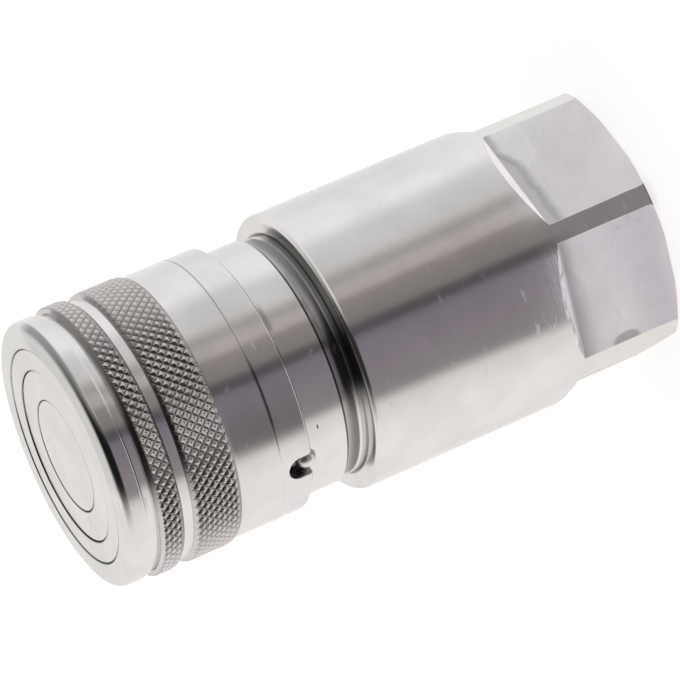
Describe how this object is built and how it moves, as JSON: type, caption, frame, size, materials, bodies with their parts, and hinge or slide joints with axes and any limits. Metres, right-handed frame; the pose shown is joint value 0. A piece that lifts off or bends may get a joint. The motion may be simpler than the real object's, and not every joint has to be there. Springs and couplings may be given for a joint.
{
  "type": "flat face hydraulic coupling",
  "caption": "Female flat face quick coupling for hydraulics: turned steel body with wrench flats and threaded port, knurled ball-lock sleeve and a spring-closed flush valve.",
  "frame": {"origin": "centre of the port end, which the coupling stands on", "axes": "+Z along the coupling's axis from the port end to the flat mating face, +X square to a wrench flat"},
  "size_m": [0.04, 0.04, 0.0845],
  "materials": {
    "turned_steel": "satin turned stainless steel",
    "nut_steel": "plain machined stainless steel",
    "spring_steel": "drawn spring wire",
    "ball_steel": "ground and polished balls",
    "seal_rubber": "black nitrile rubber",
    "backup_plastic": "pale sintered plastic"
  },
  "bodies": {
    "coupling_body": {"rear_adapter": "turned_steel", "front_body": "turned_steel", "valve_stem": "turned_steel", "stem_spider": "turned_steel", "stem_nut": "nut_steel", "stem_lock_washer": "spring_steel", "safety_ball": "ball_steel", "locking_balls": "ball_steel", "sleeve_spring": "spring_steel", "valve_spring": "spring_steel", "stem_seal": "seal_rubber", "plug_seal": "seal_rubber", "body_o_ring": "seal_rubber", "stem_backup_ring": "backup_plastic", "plug_backup_ring": "backup_plastic", "body_backup_ring": "backup_plastic"},
    "sleeve_carrier": {"spring_thrust_washer": "nut_steel"},
    "sleeve": {"locking_sleeve": "turned_steel", "sleeve_stop_ring": "spring_steel"},
    "valve": {"valve_sleeve": "turned_steel"}
  },
  "joints": [
    {"name": "sleeve_slide", "type": "slide", "parent": "coupling_body", "child": "sleeve_carrier", "axis": [0, 0, -1], "range_m": [0, 0.0015], "stiffness_N_per_m": 6000, "springref_m": -0.004, "deforming": ["sleeve_spring"]},
    {"name": "sleeve_turn", "type": "hinge", "parent": "sleeve_carrier", "child": "sleeve", "pos_m": [0, 0, 0.0733], "axis": [0, 0, 1], "range_deg": [-0.7, 0.7]},
    {"name": "valve_slide", "type": "slide", "parent": "coupling_body", "child": "valve", "axis": [0, 0, -1], "range_m": [0, 0.015], "stiffness_N_per_m": 1500, "springref_m": -0.01, "deforming": ["valve_spring"]}
  ]
}
